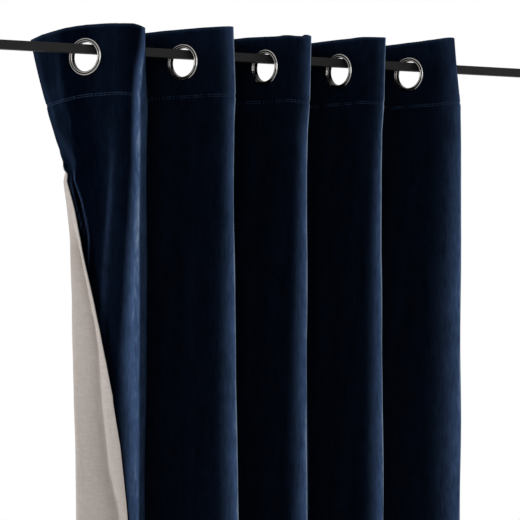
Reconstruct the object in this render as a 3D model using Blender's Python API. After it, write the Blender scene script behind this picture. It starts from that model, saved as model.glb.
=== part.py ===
"""A lined velvet eyelet curtain, hanging in deep folds from a plain square rod.

Metres, +Z up. The rod runs along X, the velvet's face looks towards -Y and the
lining towards +Y. The origin is on the rod's underside, halfway along it.

The cloth is one plan line drawn at several heights. The line is given by the
direction it takes at each station, a station being the distance from the leading
side edge along the cloth. Each solid is that line, thickened to its own layer.
"""

import bisect
import math
from collections import namedtuple

import bmesh
import bpy
from mathutils import Vector

# Rod
ROD_SIDE = 0.0127
ROD_LENGTH = 1.000
ROD_AXIS_Z = ROD_SIDE / 2

# Flat size of the cloth
EYELETS = 10
PITCH = 0.148
SIDE_MARGIN = 0.096
WIDTH = (EYELETS - 1) * PITCH + 2 * SIDE_MARGIN
DROP = 1.370
HEADING_DEPTH = 0.099
EYELET_BELOW_TOP = 0.048
LINING_ABOVE_HEM = 0.025

# Layers, measured from the middle of the velvet towards its face
SEAM_GAP = 0.0003
VELVET = (-0.0010, 0.0010)
LINING = (-0.0023, -0.0013)
HEADING = (-0.0023, 0.0010)

# Eyelet rings, as half a section: the distance from the ring's axis, and the place
# along it from the middle of the velvet towards its face
RING_INNER = 0.0212
Section = namedtuple("Section", "radius along")
RING_SECTION = (
    Section(RING_INNER, -0.0033),
    Section(RING_INNER, 0.0029),
    Section(0.0224, 0.0042),
    Section(0.0245, 0.0042),
    Section(0.0265, 0.0023),
    Section(0.0265, 0.0013),
    Section(0.0226, 0.0013),
    Section(0.0226, -0.0026),
    Section(0.0255, -0.0026),
    Section(0.0249, -0.0038),
)
RING_SEGMENTS = 18
ROD_TO_RING = 0.0003
CLOTH_HOLE = 0.0230
CUTTER_REACH = 0.006

# Where the first eyelet's centre stands along the rod
FIRST_EYELET_X = -0.3027

# A row for each fold: the angle to the rod of the flank that faces the room, the angle
# it eases to before the ridge, and the angle of the flank that goes back to the wall,
# in degrees, then the length over which it eases, and the ridge's and the next
# valley's bending radius.
Fold = namedtuple("Fold", "facing eased returning easing ridge_radius valley_radius")
FOLDS = (
    Fold(51.8, 28.0, 77.4, 0.030, 0.0120, 0.012),
    Fold(57.8, 30.0, 73.9, 0.034, 0.0050, 0.012),
    Fold(69.5, 32.0, 70.1, 0.028, 0.0045, 0.011),
    Fold(70.7, 32.0, 75.4, 0.028, 0.0045, 0.012),
    Fold(62.4, 32.0, 80.5, 0.044, 0.0080, 0.012),
)

# How far each ridge leans along the rod at four heights, and how much higher the
# cloth hangs there
Lean = namedtuple("Lean", "top stitch low hem rise")
LEANS = (
    Lean(0.000, 0.000, -0.002, -0.003, -0.003),
    Lean(-0.003, 0.000, 0.006, 0.008, 0.000),
    Lean(0.002, 0.001, -0.003, 0.000, -0.006),
    Lean(0.002, 0.001, -0.003, 0.001, -0.002),
    Lean(-0.010, 0.000, 0.000, 0.002, 0.004),
)
LEAN_REACH = 0.042
LEAN_LOW = 0.690

# The leading side at several distances down the cloth: the first flank's angle, the
# angle of the margin beside it, and the turn that lays the edge over the velvet with
# its lining outwards: how far it turns, where its middle is and how long it is.
Edge = namedtuple("Edge", "down flank margin turn turn_at turn_length")
EDGES = (
    Edge(0.000, 51.8, 56.4, 0.0, 0.0100, 0.010),
    Edge(0.099, 51.8, 84.4, 0.0, 0.0100, 0.010),
    Edge(0.140, 57.3, 90.0, 10.0, 0.0100, 0.010),
    Edge(0.160, 65.7, 90.0, 30.0, 0.0100, 0.010),
    Edge(0.180, 72.1, 91.0, 90.0, 0.0100, 0.010),
    Edge(0.200, 77.0, 78.0, 180.0, 0.0130, 0.014),
    Edge(0.215, 77.2, 77.2, 180.0, 0.0190, 0.019),
    Edge(0.250, 76.1, 76.1, 180.0, 0.0286, 0.019),
    Edge(0.295, 75.0, 75.0, 180.0, 0.0382, 0.019),
    Edge(0.380, 69.5, 69.5, 180.0, 0.0542, 0.019),
    Edge(0.510, 56.4, 56.4, 180.0, 0.0751, 0.019),
    Edge(0.580, 52.1, 52.1, 180.0, 0.0808, 0.019),
    Edge(0.690, 46.7, 46.7, 180.0, 0.0854, 0.019),
    Edge(DROP, 45.7, 45.7, 180.0, 0.0931, 0.019),
)
CREASE_AT = 0.054
CREASE_LENGTH = 0.014

# How far the cloth has slipped down at stations along it, at its top edge and at the
# line of stitches below the heading
Sag = namedtuple("Sag", "station top stitch")
SAGS = (
    Sag(0.000, 0.0182, 0.0130),
    Sag(0.020, 0.0122, 0.0118),
    Sag(0.040, 0.0088, 0.0106),
    Sag(0.062, 0.0054, 0.0092),
    Sag(0.080, 0.0038, 0.0062),
    Sag(0.098, 0.0030, 0.0046),
    Sag(0.150, 0.0032, 0.0028),
    Sag(0.172, 0.0014, 0.0018),
    Sag(0.186, 0.0045, 0.0030),
    Sag(0.200, 0.0060, 0.0030),
    Sag(0.240, 0.0000, 0.0000),
    Sag(0.640, 0.0000, 0.0000),
    Sag(0.715, 0.0040, 0.0022),
    Sag(0.745, 0.0030, 0.0000),
    Sag(0.775, 0.0000, 0.0000),
    Sag(1.240, 0.0000, 0.0000),
    Sag(1.330, -0.0032, -0.0010),
    Sag(1.375, 0.0000, 0.0000),
    Sag(WIDTH, 0.0000, 0.0000),
)

# Heights at which the solids have a row of points, as distances down the cloth
HEADING_ROWS = (0.000, 0.033, 0.066, HEADING_DEPTH)
PANEL_ROWS = (
    0.140, 0.160, 0.180, 0.190, 0.200, 0.215, 0.250, 0.310, 0.400, 0.510, 0.690,
)
FLAP_STEPS = 2
TURN_STEPS = 6
EASING_STEPS = 3
ARC_STEPS = 5
FLAT_HALF = 0.028

# The lining's side edges lie this far in from the velvet's
LINING_INSET = 0.003

# Share of the way to the next eyelet over which the cloth keeps an eyelet's height
LEVEL_SHARE = 0.2

TRACE_STEP = 0.001
SMOOTH_BELOW = math.radians(40)


def eyelet_station(index):
    return SIDE_MARGIN + index * PITCH


def straight_before(leaving, eased, easing, arriving, radius):
    """Length from one eyelet to where the cloth eases, so that the next is on the rod too.

    The cloth leaves the rod at one angle, eases to the next over a length of its own,
    bends round, and comes back to the rod at the last angle, with PITCH of cloth from
    eyelet to eyelet.
    """
    bend = radius * (eased + arriving)
    rise = radius * (math.cos(eased) - math.cos(arriving))
    rise += (PITCH - easing - bend) * math.sin(arriving)
    if easing > 0.0:
        rise -= easing * (math.cos(eased) - math.cos(leaving)) / (leaving - eased)
    return rise / (math.sin(leaving) + math.sin(arriving))


# Stations at which the cloth starts to ease, and at which its tight bend starts and
# ends, with the direction of the plan line before, at the bend's start, and after
Bend = namedtuple("Bend", "easing start end before eased after")


def fold_bends():
    bends = []
    for index, fold in enumerate(FOLDS):
        facing = math.radians(fold.facing)
        eased = math.radians(fold.eased)
        returning = math.radians(fold.returning)
        place = eyelet_station(2 * index)
        place += straight_before(facing, eased, fold.easing, returning, fold.ridge_radius)
        start = place + fold.easing
        end = start + fold.ridge_radius * (eased + returning)
        bends.append(Bend(place, start, end, -facing, -eased, returning))
        if index + 1 == len(FOLDS):
            break
        following = math.radians(FOLDS[index + 1].facing)
        start = eyelet_station(2 * index + 1)
        start += straight_before(returning, returning, 0.0, following, fold.valley_radius)
        end = start + fold.valley_radius * (returning + following)
        bends.append(Bend(start, start, end, returning, returning, -following))
    return bends


BENDS = fold_bends()
ANCHOR = BENDS[0].end
RIDGES = [(bend.start + bend.end) / 2 for bend in BENDS[::2]]


def between(rows, place):
    """A table's values at a place, its first column being places in rising order."""
    index = bisect.bisect_right([row[0] for row in rows], place) - 1
    index = max(0, min(index, len(rows) - 2))
    here = rows[index]
    there = rows[index + 1]
    share = (place - here[0]) / (there[0] - here[0])
    return here._make(a + (b - a) * share for a, b in zip(here, there))


def knots_at(down):
    """Stations and directions between which the plan line bends evenly."""
    edge = between(EDGES, down)
    flank = math.radians(edge.flank)
    margin = math.radians(edge.margin)
    turn = math.radians(edge.turn)
    turn_start = edge.turn_at - edge.turn_length / 2
    turn_end = edge.turn_at + edge.turn_length / 2
    crease = max(CREASE_AT, turn_end)
    knots = [
        (0.0, turn - margin),
        (turn_start, turn - margin),
        (turn_end, -margin),
        (crease, -margin),
        (crease + CREASE_LENGTH, -flank),
        (BENDS[0].easing, -flank),
        (BENDS[0].start, BENDS[0].eased),
        (BENDS[0].end, BENDS[0].after),
    ]
    for bend in BENDS[1:]:
        knots.append((bend.easing, bend.before))
        knots.append((bend.start, bend.eased))
        knots.append((bend.end, bend.after))
    knots.append((WIDTH, BENDS[-1].after))
    return knots


def direction_at(knots, station):
    """Direction of the plan line: 0 along the rod, below 0 towards the room."""
    index = bisect.bisect_right([knot[0] for knot in knots], station) - 1
    index = max(0, min(index, len(knots) - 2))
    start, before = knots[index]
    end, after = knots[index + 1]
    if end <= start:
        return after
    return before + (after - before) * (station - start) / (end - start)


def walk(knots, point, start, end):
    """The point reached from start to end, both stations, along the plan line."""
    count = max(1, math.ceil(abs(end - start) / TRACE_STEP))
    step = (end - start) / count
    x, y = point
    for index in range(count):
        direction = direction_at(knots, start + (index + 0.5) * step)
        x += step * math.cos(direction)
        y += step * math.sin(direction)
    return x, y


def smooth(share):
    share = max(0.0, min(1.0, share))
    return share * share * (3.0 - 2.0 * share)


def lean_at(index, down):
    lean = LEANS[index]
    if down < HEADING_DEPTH:
        return lean.top + (lean.stitch - lean.top) * down / HEADING_DEPTH
    if down < LEAN_LOW:
        share = smooth((down - HEADING_DEPTH) / (LEAN_LOW - HEADING_DEPTH))
        return lean.stitch + (lean.low - lean.stitch) * share
    share = (down - LEAN_LOW) / (DROP - LEAN_LOW)
    return lean.low + (lean.hem - lean.low) * share


def nearness(index, station):
    """1 on a ridge, falling to 0 at LEAN_REACH to either side of it."""
    return smooth(1.0 - abs(station - RIDGES[index]) / LEAN_REACH)


def lean_shift(station, down):
    """How far the ridges' lean moves this station along the rod.

    Below the heading the whole leading side goes with the first ridge.
    """
    shift = 0.0
    for index, ridge in enumerate(RIDGES):
        rigid = index == 0 and station < ridge and down > HEADING_DEPTH
        share = 1.0 if rigid else nearness(index, station)
        shift += lean_at(index, down) * share
    return shift


def plan_points(stations, down):
    """(x, y, direction) at each station, for one height."""
    level = knots_at(down)
    heading = knots_at(0.0)
    anchor = walk(heading, (FIRST_EYELET_X, 0.0), SIDE_MARGIN, ANCHOR)
    found = {}
    point = anchor
    last = ANCHOR
    for station in sorted((s for s in stations if s <= ANCHOR), reverse=True):
        point = walk(level, point, last, station)
        last = station
        found[station] = point
    point = anchor
    last = ANCHOR
    for station in sorted(s for s in stations if s > ANCHOR):
        point = walk(level, point, last, station)
        last = station
        found[station] = point
    return [
        (found[s][0] + lean_shift(s, down), found[s][1], direction_at(level, s))
        for s in stations
    ]


def ring_height(index):
    """Height of an eyelet's centre over the rod's axis: its bore rests on the rod."""
    fold = FOLDS[index // 2]
    angle = math.radians(fold.returning if index % 2 else fold.facing)
    bore = RING_INNER * math.cos(math.pi / RING_SEGMENTS)
    half_depth = max(row.along for row in RING_SECTION)
    reach = (half_depth * math.cos(angle) + ROD_SIDE / 2) / math.sin(angle)
    reach += ROD_TO_RING
    return ROD_SIDE / 2 + ROD_TO_RING - math.sqrt(bore**2 - reach**2)


def hang_height(station):
    """Height of the eyelets' line over the rod's axis at this station."""
    place = (station - SIDE_MARGIN) / PITCH
    index = max(0, min(EYELETS - 2, math.floor(place)))
    share = smooth((place - index - LEVEL_SHARE) / (1.0 - 2.0 * LEVEL_SHARE))
    here = ring_height(index)
    return here + (ring_height(index + 1) - here) * share


def height_at(station, down):
    """World height of a point of the cloth."""
    slipped = between(SAGS, station)
    share = min(1.0, down / HEADING_DEPTH)
    sag = slipped.top + (slipped.stitch - slipped.top) * share
    rise = sum(lean.rise * nearness(k, station) for k, lean in enumerate(LEANS))
    return ROD_AXIS_Z + hang_height(station) + EYELET_BELOW_TOP + rise - down - sag


def stations_at(down, to_edges):
    """Stations of one row, as many at every height, closer where the cloth bends.

    All layers have the same ones, and to_edges adds the velvet's own side edges.
    """
    edge = between(EDGES, down)
    turn_start = edge.turn_at - edge.turn_length / 2
    turn_end = edge.turn_at + edge.turn_length / 2
    crease = max(CREASE_AT, turn_end + TRACE_STEP)
    stations = [
        LINING_INSET + (turn_start - LINING_INSET) * k / FLAP_STEPS
        for k in range(FLAP_STEPS)
    ]
    stations += [
        turn_start + (turn_end - turn_start) * k / TURN_STEPS
        for k in range(TURN_STEPS + 1)
    ]
    stations += [crease, crease + CREASE_LENGTH / 2, crease + CREASE_LENGTH]
    for index in range(EYELETS):
        centre = eyelet_station(index)
        if index > 0:
            stations.append(centre - FLAT_HALF)
        stations.append(centre + FLAT_HALF)
        if index < len(BENDS):
            bend = BENDS[index]
            if bend.start > bend.easing:
                stations += [
                    bend.easing + (bend.start - bend.easing) * k / EASING_STEPS
                    for k in range(EASING_STEPS)
                ]
            stations += [
                bend.start + (bend.end - bend.start) * k / ARC_STEPS
                for k in range(ARC_STEPS + 1)
            ]
    stations.append(WIDTH - LINING_INSET)
    return [0.0, *stations, WIDTH] if to_edges else stations


def add_material(obj, colour, roughness, metallic):
    material = bpy.data.materials.new(obj.name + "_finish")
    material.use_nodes = True
    shader = material.node_tree.nodes["Principled BSDF"]
    shader.inputs["Base Color"].default_value = (*colour, 1.0)
    shader.inputs["Roughness"].default_value = roughness
    shader.inputs["Metallic"].default_value = metallic
    obj.data.materials.append(material)


def add_object(name, build):
    """An object whose mesh is filled by build, with its faces pointing out."""
    mesh = bpy.data.meshes.new(name)
    shape = bmesh.new()
    build(shape)
    bmesh.ops.recalc_face_normals(shape, faces=shape.faces)
    shape.to_mesh(mesh)
    shape.free()
    obj = bpy.data.objects.new(name, mesh)
    bpy.context.scene.collection.objects.link(obj)
    return obj


def face_way(direction):
    """Which way the velvet's face looks, level, where the plan line has a direction."""
    return Vector((math.sin(direction), -math.cos(direction), 0.0))


def tilt_to_slope(middle):
    """Turns the level ways to the face so that they are square to the sloping cloth."""
    level = [[way.copy() for point, way in row] for row in middle]
    for above, row, below, ways in zip(middle, middle[1:], middle[2:], level[1:]):
        for k, (point, _) in enumerate(row):
            fall = below[k][0] - above[k][0]
            way = ways[k]
            way.z = -way.dot(fall) / fall.z
            row[k] = (point, way.normalized())


def cloth_layer(name, rows, layer, to_edges):
    """A closed sheet between two distances from the velvet's middle.

    rows holds pairs of the height that the plan is drawn for and the height that the
    points are at, so that two layers can share a plan and still be a seam's gap apart.
    """

    def build(shape):
        middle = []
        for plan_down, down in rows:
            stations = stations_at(plan_down, to_edges)
            points = plan_points(stations, plan_down)
            middle.append([
                (Vector((x, y, height_at(station, down))), face_way(direction))
                for station, (x, y, direction) in zip(stations, points)
            ])
        tilt_to_slope(middle)
        sides = [
            [[shape.verts.new(point + offset * way) for point, way in row] for row in middle]
            for offset in layer
        ]
        back, front = sides
        for grid in sides:
            for above, below in zip(grid, grid[1:]):
                for k in range(len(above) - 1):
                    shape.faces.new((above[k], above[k + 1], below[k + 1]))
                    shape.faces.new((above[k], below[k + 1], below[k]))
        for k in range(len(back[0]) - 1):
            shape.faces.new((back[0][k], back[0][k + 1], front[0][k + 1], front[0][k]))
            shape.faces.new((back[-1][k], back[-1][k + 1], front[-1][k + 1], front[-1][k]))
        for row in range(len(back) - 1):
            for k in (0, -1):
                shape.faces.new((
                    back[row][k], front[row][k], front[row + 1][k], back[row + 1][k]
                ))

    return add_object(name, build)


def frame_of(index):
    """Centre of an eyelet, with the cloth's direction there."""
    station = eyelet_station(index)
    x, y, direction = plan_points([station], 0.0)[0]
    return Vector((x, y, ROD_AXIS_Z + ring_height(index))), direction


def loop_of(shape, frame, radius, along):
    """Points of a circle round an eyelet's axis."""
    centre, direction = frame
    middle = centre + along * face_way(direction)
    level = Vector((math.cos(direction), math.sin(direction), 0.0))
    loop = []
    for k in range(RING_SEGMENTS):
        angle = math.tau * (k + 0.5) / RING_SEGMENTS
        rise = Vector((0.0, 0.0, math.sin(angle)))
        loop.append(shape.verts.new(middle + radius * (math.cos(angle) * level + rise)))
    return loop


def join_loops(shape, here, there):
    for k in range(RING_SEGMENTS):
        n = (k + 1) % RING_SEGMENTS
        shape.faces.new((here[k], here[n], there[n], there[k]))


def ring(index):
    def build(shape):
        frame = frame_of(index)
        loops = [loop_of(shape, frame, row.radius, row.along) for row in RING_SECTION]
        for here, there in zip(loops, loops[1:] + loops[:1]):
            join_loops(shape, here, there)

    obj = add_object(f"eyelet_{index + 1:02d}", build)
    obj.data.shade_smooth()
    obj.data.set_sharp_from_angle(angle=SMOOTH_BELOW)
    add_material(obj, (0.78, 0.76, 0.73), 0.18, 1.0)


def hole_cutters():
    """One drum through the cloth for each eyelet."""

    def build(shape):
        for index in range(EYELETS):
            frame = frame_of(index)
            back = loop_of(shape, frame, CLOTH_HOLE, -CUTTER_REACH)
            front = loop_of(shape, frame, CLOTH_HOLE, CUTTER_REACH)
            shape.faces.new(back)
            shape.faces.new(front)
            join_loops(shape, back, front)

    obj = add_object("eyelet_hole_cutters", build)
    obj.hide_render = True
    obj.display_type = "WIRE"
    return obj


def rod():
    def build(shape):
        bmesh.ops.create_cube(shape, size=1.0)
        bmesh.ops.scale(shape, vec=(ROD_LENGTH, ROD_SIDE, ROD_SIDE), verts=shape.verts)

    obj = add_object("rod", build)
    obj.location.z = ROD_AXIS_Z
    add_material(obj, (0.022, 0.021, 0.020), 0.5, 0.6)


def heading():
    obj = cloth_layer("heading", [(d, d) for d in HEADING_ROWS], HEADING, True)
    cut = obj.modifiers.new("eyelet_holes", "BOOLEAN")
    cut.operation = "DIFFERENCE"
    cut.solver = "EXACT"
    cut.object = hole_cutters()
    add_material(obj, (0.012, 0.022, 0.065), 0.85, 0.0)


def panels():
    end = DROP - LINING_ABOVE_HEM
    rows = [(HEADING_DEPTH, HEADING_DEPTH + SEAM_GAP)]
    rows += [(d, d) for d in (*PANEL_ROWS, end)]
    velvet = cloth_layer("velvet_panel", rows + [(DROP, DROP)], VELVET, True)
    add_material(velvet, (0.012, 0.022, 0.065), 0.85, 0.0)
    lining = cloth_layer("lining", rows, LINING, False)
    add_material(lining, (0.62, 0.55, 0.49), 0.8, 0.0)


def main():
    for obj in list(bpy.data.objects):
        bpy.data.objects.remove(obj, do_unlink=True)
    rod()
    heading()
    panels()
    for index in range(EYELETS):
        ring(index)


main()
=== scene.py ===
"""Looks of a lined velvet eyelet curtain on a square rod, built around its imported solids.

Metres, +Z up, in the solids' own frame: the rod runs along X, the velvet's face looks
towards -Y, and the origin is on the rod's underside, halfway along it.

The cloth is a grid. Its columns are stations, distances along the cloth from the leading
side edge, and its rows are distances down from the top. Each row follows a plan line,
given by the direction it takes at each station, and small creases are added to that.
"""

import math
from collections import namedtuple

import bmesh
import bpy
import numpy as np
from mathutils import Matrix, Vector


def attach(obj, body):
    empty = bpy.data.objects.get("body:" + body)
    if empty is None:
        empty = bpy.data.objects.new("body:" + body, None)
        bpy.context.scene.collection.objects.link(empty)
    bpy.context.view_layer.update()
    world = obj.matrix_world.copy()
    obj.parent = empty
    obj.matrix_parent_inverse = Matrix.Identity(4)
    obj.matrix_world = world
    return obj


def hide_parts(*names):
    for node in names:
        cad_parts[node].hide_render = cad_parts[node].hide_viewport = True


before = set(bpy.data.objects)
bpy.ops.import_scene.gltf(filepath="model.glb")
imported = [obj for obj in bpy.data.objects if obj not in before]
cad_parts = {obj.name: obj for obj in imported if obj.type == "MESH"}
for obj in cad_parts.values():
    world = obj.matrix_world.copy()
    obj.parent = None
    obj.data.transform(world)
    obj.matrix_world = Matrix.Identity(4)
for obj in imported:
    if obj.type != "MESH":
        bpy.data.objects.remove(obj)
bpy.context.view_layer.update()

# Rod
ROD_SIDE = 0.0127
ROD_LENGTH = 1.000
ROD_AXIS_Z = ROD_SIDE / 2

# Flat size of the cloth
EYELETS = 10
PITCH = 0.148
SIDE_MARGIN = 0.096
WIDTH = (EYELETS - 1) * PITCH + 2 * SIDE_MARGIN
DROP = 1.370
HEADING_DEPTH = 0.099
EYELET_BELOW_TOP = 0.048
LINING_END = DROP - 0.025
LINING_INSET = 0.003
LINING_REACH = 0.0025

# Layers, measured from the middle of the velvet towards its face
VELVET_FACE = 0.0010
VELVET_BACK = -0.0010
HEADING_BACK = -0.0023
LINING_NEAR = -0.0013
LINING_FAR = -0.0023

# Each fold: the angle to the rod of the flank that faces the room, the angle it eases to
# before the ridge, and the angle of the flank that goes back, in degrees, then the length
# over which it eases, and the ridge's and the next valley's bending radius
Fold = namedtuple("Fold", "facing eased returning easing ridge_radius valley_radius")
FOLDS = (
    Fold(51.8, 28.0, 77.4, 0.030, 0.0120, 0.012),
    Fold(57.8, 30.0, 73.9, 0.034, 0.0050, 0.012),
    Fold(69.5, 32.0, 70.1, 0.028, 0.0045, 0.011),
    Fold(70.7, 32.0, 75.4, 0.028, 0.0045, 0.012),
    Fold(62.4, 32.0, 80.5, 0.044, 0.0080, 0.012),
)
FIRST_EYELET_X = -0.3027

# How far each ridge leans along the rod at four heights, and how much higher it hangs
Lean = namedtuple("Lean", "top stitch low hem rise")
LEANS = (
    Lean(0.000, 0.000, -0.002, -0.003, -0.003),
    Lean(-0.003, 0.000, 0.006, 0.008, 0.000),
    Lean(0.002, 0.001, -0.003, 0.000, -0.006),
    Lean(0.002, 0.001, -0.003, 0.001, -0.002),
    Lean(-0.010, 0.000, 0.000, 0.002, 0.004),
)
LEAN_REACH = 0.042
LEAN_LOW = 0.690

# How far the visible cloth stands to one side of its solid, in rows of the distance down,
# the leading side's fold and its free edge, and of the distance down and ridges 2, 3 and 4
SIDE_NUDGES = (
    (0.110, 0.0000, 0.0000),
    (0.137, 0.0023, 0.0023),
    (0.185, 0.0031, 0.0031),
    (0.196, 0.0023, 0.0058),
    (0.202, 0.0014, 0.0013),
    (0.208, 0.0002, -0.0007),
    (0.215, 0.0000, -0.0002),
    (0.240, 0.0016, 0.0005),
    (0.270, 0.0026, 0.0000),
    (0.300, 0.0022, -0.0005),
    (0.350, 0.0030, 0.0023),
    (0.420, 0.0035, 0.0046),
    (0.465, 0.0040, 0.0038),
    (0.520, 0.0030, 0.0003),
    (0.600, 0.0036, 0.0019),
    (0.660, 0.0033, 0.0033),
    (0.900, 0.0000, 0.0000),
)
SIDE_NUDGE_REACH = 0.160
RIDGE_NUDGES = (
    (0.000, -0.0015, 0.0000, 0.0015),
    (0.095, -0.0010, -0.0005, 0.0012),
    (0.140, -0.0032, -0.0045, -0.0033),
    (0.200, -0.0032, -0.0060, -0.0050),
    (0.320, -0.0034, -0.0046, -0.0050),
    (0.390, -0.0042, -0.0045, -0.0032),
    (0.450, -0.0034, -0.0040, -0.0014),
    (0.510, -0.0032, -0.0015, 0.0012),
    (0.690, -0.0018, -0.0010, 0.0026),
    (1.000, 0.0000, 0.0000, 0.0000),
)

# The leading side in rows of the distance down, the first flank's angle, the margin's
# angle, and the turn that lays the edge over the velvet, with its middle and its length
Edge = namedtuple("Edge", "flank margin turn turn_at turn_length")
EDGES = (
    (0.000, 51.8, 56.4, 0.0, 0.0100, 0.010),
    (0.099, 51.8, 84.4, 0.0, 0.0100, 0.010),
    (0.140, 57.3, 90.0, 10.0, 0.0100, 0.010),
    (0.160, 65.7, 90.0, 30.0, 0.0100, 0.010),
    (0.180, 72.1, 91.0, 90.0, 0.0100, 0.010),
    (0.200, 77.0, 78.0, 180.0, 0.0130, 0.014),
    (0.215, 77.2, 77.2, 180.0, 0.0190, 0.019),
    (0.250, 76.1, 76.1, 180.0, 0.0286, 0.019),
    (0.295, 75.0, 75.0, 180.0, 0.0382, 0.019),
    (0.380, 69.5, 69.5, 180.0, 0.0542, 0.019),
    (0.510, 56.4, 56.4, 180.0, 0.0751, 0.019),
    (0.580, 52.1, 52.1, 180.0, 0.0808, 0.019),
    (0.690, 46.7, 46.7, 180.0, 0.0854, 0.019),
    (DROP, 45.7, 45.7, 180.0, 0.0931, 0.019),
)
CREASE_AT = 0.054
CREASE_LENGTH = 0.014

# How far the cloth has slipped down: rows of a station, and the slip there at the top and
# at the stitch line
SAGS = (
    (0.000, 0.0182, 0.0130),
    (0.020, 0.0122, 0.0118),
    (0.040, 0.0088, 0.0106),
    (0.062, 0.0054, 0.0092),
    (0.080, 0.0038, 0.0062),
    (0.098, 0.0030, 0.0046),
    (0.150, 0.0032, 0.0028),
    (0.172, 0.0014, 0.0018),
    (0.186, 0.0045, 0.0030),
    (0.200, 0.0060, 0.0030),
    (0.240, 0.0000, 0.0000),
    (0.640, 0.0000, 0.0000),
    (0.715, 0.0040, 0.0022),
    (0.745, 0.0030, 0.0000),
    (0.775, 0.0000, 0.0000),
    (1.240, 0.0000, 0.0000),
    (1.330, -0.0032, -0.0010),
    (1.375, 0.0000, 0.0000),
    (WIDTH, 0.0000, 0.0000),
)

# Eyelet rings, the holes for them, and the share of the way to the next one, at each end,
# in which the cloth hangs level
RING_BORE = 0.0212
RING_SEGMENTS = 18
ROD_TO_RING = 0.0003
RING_HALF_DEPTH = 0.0042
HOLE_RADIUS = 0.0240
LEVEL_SHARE = 0.2

# How finely the cloth's grid is divided: steps across, then runs of even steps down as
# (start, end, steps), and the rows at the stitch line and at the hems
FLAP_STEPS = 14
TURN_STEPS = 12
MARGIN_STEPS = 22
CREASE_STEPS = 6
FIRST_FLANK_STEPS = 26
FLAT_STEP = 0.0080
EASING_STEP = 0.0026
RIDGE_STEP = 0.0013
VALLEY_STEP = 0.0032
TRACE_STEP = 0.0005
ROW_RUNS = (
    (0.000, 0.0945, 17),
    (0.105, 0.2500, 24),
    (0.250, 0.7000, 40),
    (0.7000, LINING_END, 24),
)
STITCH_ROWS = (
    0.0945, 0.0960, 0.0970, 0.0978, 0.0984, HEADING_DEPTH, 0.0998, 0.1008, 0.1024,
)
HEM_ROWS = (LINING_END, LINING_END + 0.004, DROP - 0.008, DROP - 0.002, DROP)
TINY = 1e-9

# Camera, as the photo was taken: level, a little below the rod
CAMERA_AT = (-1.0935, -2.2264, -0.27865)
CAMERA_TURN = 25.5
CAMERA_DIP = 0.274
CAMERA_SENSOR = 36.0
PHOTO_SIDE = 520
FOCAL_PIXELS = 1671.0

FLOOR_Z = -1.400
FLOOR_SIDE = 3.2


def smooth(share):
    share = np.clip(share, 0.0, 1.0)
    return share * share * (3.0 - 2.0 * share)


def eyelet_station(index):
    return SIDE_MARGIN + index * PITCH


def straight_before(leaving, eased, easing, arriving, radius):
    """Length from one eyelet to where the cloth eases, so that the next is on the rod too.

    The cloth leaves the rod at one angle, eases to the next over a length of its own,
    bends round, and comes back to the rod at the last angle, with PITCH of cloth from
    eyelet to eyelet.
    """
    bend = radius * (eased + arriving)
    rise = radius * (math.cos(eased) - math.cos(arriving))
    rise += (PITCH - easing - bend) * math.sin(arriving)
    if easing > 0.0:
        rise -= easing * (math.cos(eased) - math.cos(leaving)) / (leaving - eased)
    return rise / (math.sin(leaving) + math.sin(arriving))


# Stations at which the cloth starts to ease, and at which its tight bend starts and
# ends, with the direction of the plan line before, at the bend's start, and after
Bend = namedtuple("Bend", "easing start end before eased after")


def fold_bends():
    bends = []
    for index, fold in enumerate(FOLDS):
        facing = math.radians(fold.facing)
        eased = math.radians(fold.eased)
        returning = math.radians(fold.returning)
        place = eyelet_station(2 * index)
        place += straight_before(facing, eased, fold.easing, returning, fold.ridge_radius)
        start = place + fold.easing
        end = start + fold.ridge_radius * (eased + returning)
        bends.append(Bend(place, start, end, -facing, -eased, returning))
        if index + 1 == len(FOLDS):
            break
        following = math.radians(FOLDS[index + 1].facing)
        start = eyelet_station(2 * index + 1)
        start += straight_before(returning, returning, 0.0, following, fold.valley_radius)
        end = start + fold.valley_radius * (returning + following)
        bends.append(Bend(start, start, end, returning, returning, -following))
    return bends


BENDS = fold_bends()
ANCHOR = BENDS[0].end
RIDGES = [(bend.start + bend.end) / 2 for bend in BENDS[::2]]


def between(columns, places):
    """A table's other columns at places along its first one, read between its entries."""
    firsts, *others = columns
    return [np.interp(places, firsts, np.broadcast_to(c, len(firsts))) for c in others]


def between_rows(rows, places):
    return between(zip(*rows), places)


def edge_at(down):
    """The leading side's values at a distance down the cloth."""
    return Edge(*between_rows(EDGES, down))


def sag_at(stations, down):
    """How far the cloth has slipped down at stations of a row."""
    top, stitch = between_rows(SAGS, stations)
    return top + (stitch - top) * min(1.0, down / HEADING_DEPTH)


def plan_line(down):
    """Fine stations of a row, with the direction and the place of the plan line there."""
    edge = edge_at(down)
    turn_start = edge.turn_at - edge.turn_length / 2
    turn_end = edge.turn_at + edge.turn_length / 2
    crease = max(CREASE_AT, turn_end)
    flank, margin, turn = (math.radians(a) for a in (edge.flank, edge.margin, edge.turn))
    knots = [
        (0.0, turn - margin),
        (turn_start, turn - margin),
        (turn_end, -margin),
        (crease, -margin),
        (crease + CREASE_LENGTH, -flank),
        (BENDS[0].easing, -flank),
        (BENDS[0].start, BENDS[0].eased),
        (BENDS[0].end, BENDS[0].after),
    ]
    for bend in BENDS[1:]:
        knots += [(bend.easing, bend.before), (bend.start, bend.eased), (bend.end, bend.after)]
    knots.append((WIDTH, BENDS[-1].after))
    stations = np.linspace(0.0, WIDTH, int(WIDTH / TRACE_STEP) + 1)
    steps = np.diff(stations)
    directions = np.interp(stations, *zip(*knots))
    middles = (directions[1:] + directions[:-1]) / 2
    x = np.concatenate(([0.0], np.cumsum(steps * np.cos(middles))))
    y = np.concatenate(([0.0], np.cumsum(steps * np.sin(middles))))
    return stations, directions, x, y


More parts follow.
